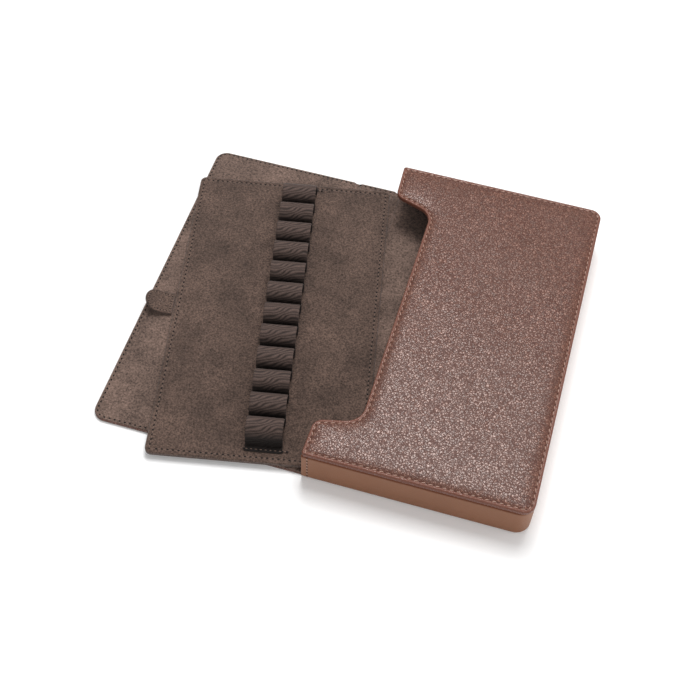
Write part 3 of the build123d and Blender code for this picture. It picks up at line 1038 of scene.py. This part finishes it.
class PENCASE_OT_tray(bpy.types.Operator):
    """The suede tray with its turned edge and seam"""

    bl_idname = "pen_case.tray"
    bl_label = "Tray"

    def execute(self, context):
        looks = finishes()
        dress(["tray_backing"], looks["tray"])
        w, t = TRAY_WIDTH / 2, TRAY_LENGTH / 2
        corners = [(x, y, TRAY_CORNER) for x, y in ((-w, -t), (w, -t), (w, t), (-w, t))]
        base = BACKING_TOP
        rise = (TRAY_TOP - base) / MM
        margin = context.scene.pen_case_stitches.margin
        spacing, arc_steps = 3 * MM, 8
        profile = [(0.9, 0.5), (0.9, 0.02), (0.25, 0.02), (0.05, 0.2), (0.0, 0.6),
                   (0.0, rise - 0.9), (0.08, rise - 0.5), (0.3, rise - 0.2), (0.7, rise - 0.04),
                   (1.3, rise), (2.0, rise), (2.7, rise - 0.05), (3.0, rise - 0.16),
                   (3.4, rise - 0.16), (3.7, rise - 0.05), (4.4, rise), (6.0, rise), (9.0, rise)]
        profile = [(inset * MM, base + height * MM) for inset, height in profile]

        def height_at(x, y, inset, run):
            """A slow unevenness of the glued suede."""
            return 0.05 * MM * smooth_step(5 * MM, 12 * MM, inset) * (swell(x, y, 27 * MM) - 1)

        made = panel("tray_suede", corners, profile, height_at, spacing, arc_steps, 6 * MM,
                     tray_matrix())
        finish_piece(made, looks["tray"], "tray", ["tray_face"])
        seam = [tray_matrix() @ Vector((*p, TRAY_TOP - 0.16 * MM))
                for p in inset_outline(corners, margin, spacing, arc_steps)]
        sew("tray_stitches", [(seam, True)], "tray")
        return {"FINISHED"}


class PENCASE_OT_loops(bpy.types.Operator):
    """Twelve arches of ribbed band, sewn down between the pens"""

    bl_idname = "pen_case.loops"
    bl_label = "Pen loops"

    def execute(self, context):
        to_tray = tray_matrix().inverted()
        for name in LOOP_NODES:
            low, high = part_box(name)
            middle = to_tray @ ((low + high) / 2)
            hem_right, hem_left = name == LOOP_NODES[0], name == LOOP_NODES[-1]
            # The hem makes the box of the first and last loop longer on one side
            shift = (hem_left - hem_right) * LOOP_HEM / 2
            self.arch(name, middle.x, middle.y + shift, hem_left, hem_right)
        return {"FINISHED"}

    def hem(self, name, x, y):
        """A seam across the hem of an outer loop, running on a little way into the suede."""
        reach = LOOP_WIDTH / 2 + 2 * MM
        z = TRAY_TOP + LOOP_THICKNESS * 0.85
        line = [tray_matrix() @ Vector((x + side * reach, y, z)) for side in (-1, 1)]
        sew(name + "_hem_stitches", [(line, False)], "tray", pitch=3 * MM)

    def arch(self, name, x, y, hem_left, hem_right):
        """One arch: a ribbed sheet with thickness along a foot, up, over and down to a foot."""
        half_bore, spring, foot, bend = 7.2 * MM, 7.6 * MM, 1.2 * MM, 1.5 * MM
        middle = LOOP_THICKNESS / 2
        radius = half_bore + middle
        rise = spring - middle - bend

        def leg(side, hemmed):
            """From the tip of a foot to the spring of the arch. A hemmed foot is sewn down."""
            tip = radius + foot + middle + (LOOP_HEM if hemmed else 0.0)
            if hemmed:
                self.hem(name, x, y + side * (tip - 1.6 * MM))
            steps = 9 if hemmed else 5
            run = radius + bend - tip
            line = [(tip + run * step / steps, middle) for step in range(steps + 1)]
            for step in range(1, 6):
                angle = math.pi / 2 * step / 6
                line.append((radius + bend - bend * math.sin(angle),
                             middle + bend * (1 - math.cos(angle))))
            line += [(radius, middle + bend + rise * step / 9) for step in range(9)]
            return [(side * away, height) for away, height in line]

        top = [math.pi * step / 40 for step in range(41)]
        top = [(-radius * math.cos(angle), spring + radius * math.sin(angle)) for angle in top]
        path = leg(-1, hem_left) + top + leg(1, hem_right)[::-1]
        self.band(name, path, x, y)

    def band(self, name, path, x, y):
        """A strip of band along a path in the tray's YZ plane, with diagonal ribs outside."""
        settings = bpy.context.scene.pen_case_loops
        number = int(name[-2:])
        points, rib_painted_shade, crown_painted_shade, faces = [], [], [], []
        count, steps = len(path), settings.steps
        summit = max(z for _, z in path)
        half = LOOP_THICKNESS / 2
        lengths, normals = [0.0], []
        for (y0, z0), (y1, z1) in zip(path, path[1:]):
            lengths.append(lengths[-1] + math.hypot(y1 - y0, z1 - z0))
        for i in range(count):
            (y0, z0), (y1, z1) = path[max(0, i - 1)], path[min(count - 1, i + 1)]
            size = math.hypot(y1 - y0, z1 - z0)
            normals.append((-(z1 - z0) / size, (y1 - y0) / size))
        for side in (1, -1):
            for (out, up), (ny, nz), run in zip(path, normals, lengths):
                deep = settings.relief * (0.35 + 0.65 * smooth_step(3 * MM, -4 * MM, out))
                # Painted shade: crown is 1 on top of the arch and falls down its flanks, which the
                # material paints darker
                crown = smooth_step(0.45, 1.0, up / summit)
                for k in range(steps + 1):
                    across = k / steps
                    edge = min(across, 1 - across) * LOOP_WIDTH
                    slope = 0.5 * (1 - math.cos(math.pi * across))
                    drift = math.sin(9 * across + 2.4 * number)
                    drift += 0.8 * math.sin(1.1 * run / MM + number)
                    phase = run - 8 * MM * slope + 0.6 * MM * drift
                    rib = 0.5 + 0.5 * math.cos(2 * math.pi * phase / settings.rib)
                    rib = 1 - (1 - rib) ** 1.6
                    rim = smooth_step(0, 0.9 * MM, edge)
                    uneven = math.sin(13 * across + 0.9 * run / MM + 1.7 * number)
                    depth = deep * (0.75 + 0.25 * uneven)
                    lift = half * (0.35 + 0.65 * rim) - depth * (1 - rib) * rim
                    if side == -1:
                        lift = -half
                    points.append(((across - 0.5) * LOOP_WIDTH, out + ny * lift, up + nz * lift))
                    # Painted shade: the inner face gets low values, so it is painted dark
                    rib_painted_shade.append(rib if side == 1 else 0.4)
                    crown_painted_shade.append(crown if side == 1 else 0.2)
        row = steps + 1
        sheet = count * row
        for i in range(count - 1):
            for k in range(steps):
                a = i * row + k
                faces.append((a, a + 1, a + row + 1, a + row))
                b = sheet + a
                faces.append((b, b + row, b + row + 1, b + 1))
            for k in (0, steps):
                a = i * row + k
                side_face = (a, a + row, sheet + a + row, sheet + a)
                faces.append(side_face if k == 0 else side_face[::-1])
        for i in (0, count - 1):
            for k in range(steps):
                a = i * row + k
                end_face = (a, sheet + a, sheet + a + 1, a + 1)
                faces.append(end_face if i == 0 else end_face[::-1])
        place = tray_matrix() @ Matrix.Translation((x, y, TRAY_TOP))
        made = mesh_object(name + "_band", points, faces, place)
        paint(made, "rib", rib_painted_shade)
        paint(made, "crown", crown_painted_shade)
        finish_piece(made, finishes()["band"], "tray", [name])


class PENCASE_OT_pull_tab(bpy.types.Operator):
    """The suede tongue that draws the tray out"""

    bl_idname = "pen_case.pull_tab"
    bl_label = "Pull tab"

    def execute(self, context):
        looks = finishes()
        width, length, rise = 18.0 * MM, 21.0 * MM, 8.0 * MM
        half = width / 2
        radius = length ** 2 / (2 * rise)
        root, tip = 0.6 * MM, half * 0.98
        spacing, arc_steps = 0.9 * MM, 12
        corners = [(0, -half, root), (length, -half, tip), (length, half, tip), (0, half, root)]
        # Heights of the suede's two faces from its middle, in millimetres
        low, high = -0.85, 0.85
        profile = [(0.8, low + 0.5), (0.8, low), (0.3, low), (0.08, low + 0.2), (0, low + 0.5),
                   (0, high - 0.5), (0.1, high - 0.2), (0.35, high - 0.05), (0.8, high),
                   (1.5, high - 0.03), (1.8, high - 0.12), (2.1, high - 0.03), (2.8, high)]
        profile = [(inset * MM, height * MM) for inset, height in profile]
        tray = tray_matrix().to_3x3().to_4x4()
        place = Matrix.Translation(TAB_PIVOT) @ tray @ Matrix.Diagonal((-1, -1, 1, 1))

        def bent(p):
            """Curl the flat tongue up along its length."""
            angle = p.x / radius
            inner = radius - p.z
            return Vector((inner * math.sin(angle), p.y, radius - inner * math.cos(angle)))

        made = panel("pull_tab_suede", corners, profile, lambda x, y, inset, run: 0.0,
                     spacing, arc_steps, 1.6 * MM)
        for vertex in made.data.vertices:
            vertex.co = place @ bent(vertex.co)
        made.data.update()
        finish_piece(made, looks["tray"], "pull_tab", ["pull_tab"])
        line = [place @ bent(Vector((*p, (high - 0.1) * MM)))
                for p in inset_outline(corners, 1.8 * MM, spacing, arc_steps)]
        sew("pull_tab_stitches", [(line, True)], "pull_tab", pitch=2.2 * MM, thread=0.45 * MM)
        return {"FINISHED"}


# Each lamp's name, place, width and share of the light
LAMPS = (
    ("Key", (-0.04, 0.52, 1.45), 0.7, 1.0),
    ("Window", (-0.35, 0.8, 1.4), 0.5, 0.28),
    ("Fill", (0.5, -0.7, 0.6), 0.8, 0.13),
    ("Side", (1.3, 0.2, 0.35), 0.5, 0.2),
)


class PENCASE_OT_stage(bpy.types.Operator):
    """Pale floor, soft light and the camera"""

    bl_idname = "pen_case.stage"
    bl_label = "Stage"

    def execute(self, context):
        scene = context.scene
        settings = scene.pen_case_stage
        scene.view_settings.view_transform = "Standard"
        self.floor()
        self.world(scene)
        for name, place, size, share in LAMPS:
            self.softbox(name, place, size, settings.light * share)
        self.camera(scene, settings)
        return {"FINISHED"}

    def floor(self):
        """A pale floor that keeps the case's shadow, with a painted glow to the camera that
        lightens that shadow and whitens the floor further off.
        """
        size = 4.0
        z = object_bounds()[0][2]
        points = [(-size, -size, z), (size, -size, z), (size, size, z), (-size, size, z)]
        ground = mesh_object("floor", points, [(0, 1, 2, 3)])
        material, tree, shader = new_material("Pale floor")
        place = tree.nodes.new("ShaderNodeTexCoord").outputs["Object"]
        away = node(tree, "ShaderNodeVectorMath", {0: place}, operation="LENGTH").outputs["Value"]
        seen = tree.nodes.new("ShaderNodeLightPath").outputs["Is Camera Ray"]
        # Painted light: the floor glows to the camera a little near the case, lifting its shadows,
        # and more further off
        lift = linear(tree, 0.09, ramp(tree, away, 0.35, 1.6), 0.45)
        wire(tree, shader, {
            "Base Color": (0.96, 0.96, 0.96, 1),
            "Roughness": 0.9,
            "Specular IOR Level": 0.0,
            "Emission Color": (1, 1, 1, 1),
            "Emission Strength": maths(tree, "MULTIPLY", lift, seen),
        })
        ground.data.materials.append(material)
        ground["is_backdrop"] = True

    def world(self, scene):
        """White to the camera and a soft grey fill to everything else."""
        world = bpy.data.worlds.new("Studio")
        world.use_nodes = True
        scene.world = world
        tree = world.node_tree
        path = tree.nodes.new("ShaderNodeLightPath").outputs
        seen = maths(tree, "MAXIMUM", path["Is Camera Ray"], path["Is Transmission Ray"])
        wire(tree, tree.nodes["Background"], {
            "Color": (1, 1, 1, 1),
            "Strength": linear(tree, 0.4, seen, 0.6),
        })

    def softbox(self, name, place, size, energy):
        """A square area lamp that faces the case."""
        data = bpy.data.lights.new(name, "AREA")
        data.size = size
        data.energy = energy
        lamp = bpy.data.objects.new(name, data)
        lamp.location = place
        lamp.rotation_euler = (-Vector(place)).to_track_quat("-Z", "Y").to_euler()
        bpy.context.scene.collection.objects.link(lamp)

    def camera(self, scene, settings):
        """The photograph's view."""
        data = bpy.data.cameras.new("Camera")
        data.lens = settings.lens
        data.sensor_width = 36.0
        camera = bpy.data.objects.new("Camera", data)
        a, e = settings.azimuth, settings.elevation
        back = Vector((math.sin(a) * math.cos(e), -math.cos(a) * math.cos(e), math.sin(e)))
        right = Vector((0, 0, 1)).cross(back).normalized()
        up = back.cross(right)
        turn = Matrix((right, up, back)).transposed() @ Matrix.Rotation(settings.roll, 3, "Z")
        camera.matrix_world = Matrix.Translation(settings.place) @ turn.to_4x4()
        scene.collection.objects.link(camera)
        scene.camera = camera


class PENCASE_PT_panel(bpy.types.Panel):
    """Builds the case piece by piece"""

    bl_label = "Pen case"
    bl_space_type = "VIEW_3D"
    bl_region_type = "UI"
    bl_category = "Pen case"

    def draw(self, context):
        for operator in OPERATORS:
            self.layout.operator(operator.bl_idname)


OPERATORS = (
    PENCASE_OT_padded_top,
    PENCASE_OT_sleeve,
    PENCASE_OT_flap,
    PENCASE_OT_tray,
    PENCASE_OT_loops,
    PENCASE_OT_pull_tab,
    PENCASE_OT_stage,
)
SETTINGS = {
    "pen_case_leather": PenCaseLeather,
    "pen_case_suede": PenCaseSuede,
    "pen_case_loops": PenCaseLoops,
    "pen_case_stitches": PenCaseStitches,
    "pen_case_stage": PenCaseStage,
}


def register():
    for name, group in SETTINGS.items():
        bpy.utils.register_class(group)
        setattr(bpy.types.Scene, name, PointerProperty(type=group))
    for operator in OPERATORS:
        bpy.utils.register_class(operator)
    bpy.utils.register_class(PENCASE_PT_panel)


def unregister():
    bpy.utils.unregister_class(PENCASE_PT_panel)
    for operator in reversed(OPERATORS):
        bpy.utils.unregister_class(operator)
    for name, group in SETTINGS.items():
        delattr(bpy.types.Scene, name)
        bpy.utils.unregister_class(group)


def main():
    register()
    for operator in OPERATORS:
        group, call = operator.bl_idname.split(".")
        getattr(getattr(bpy.ops, group), call)()


if __name__ == "__main__":
    main()
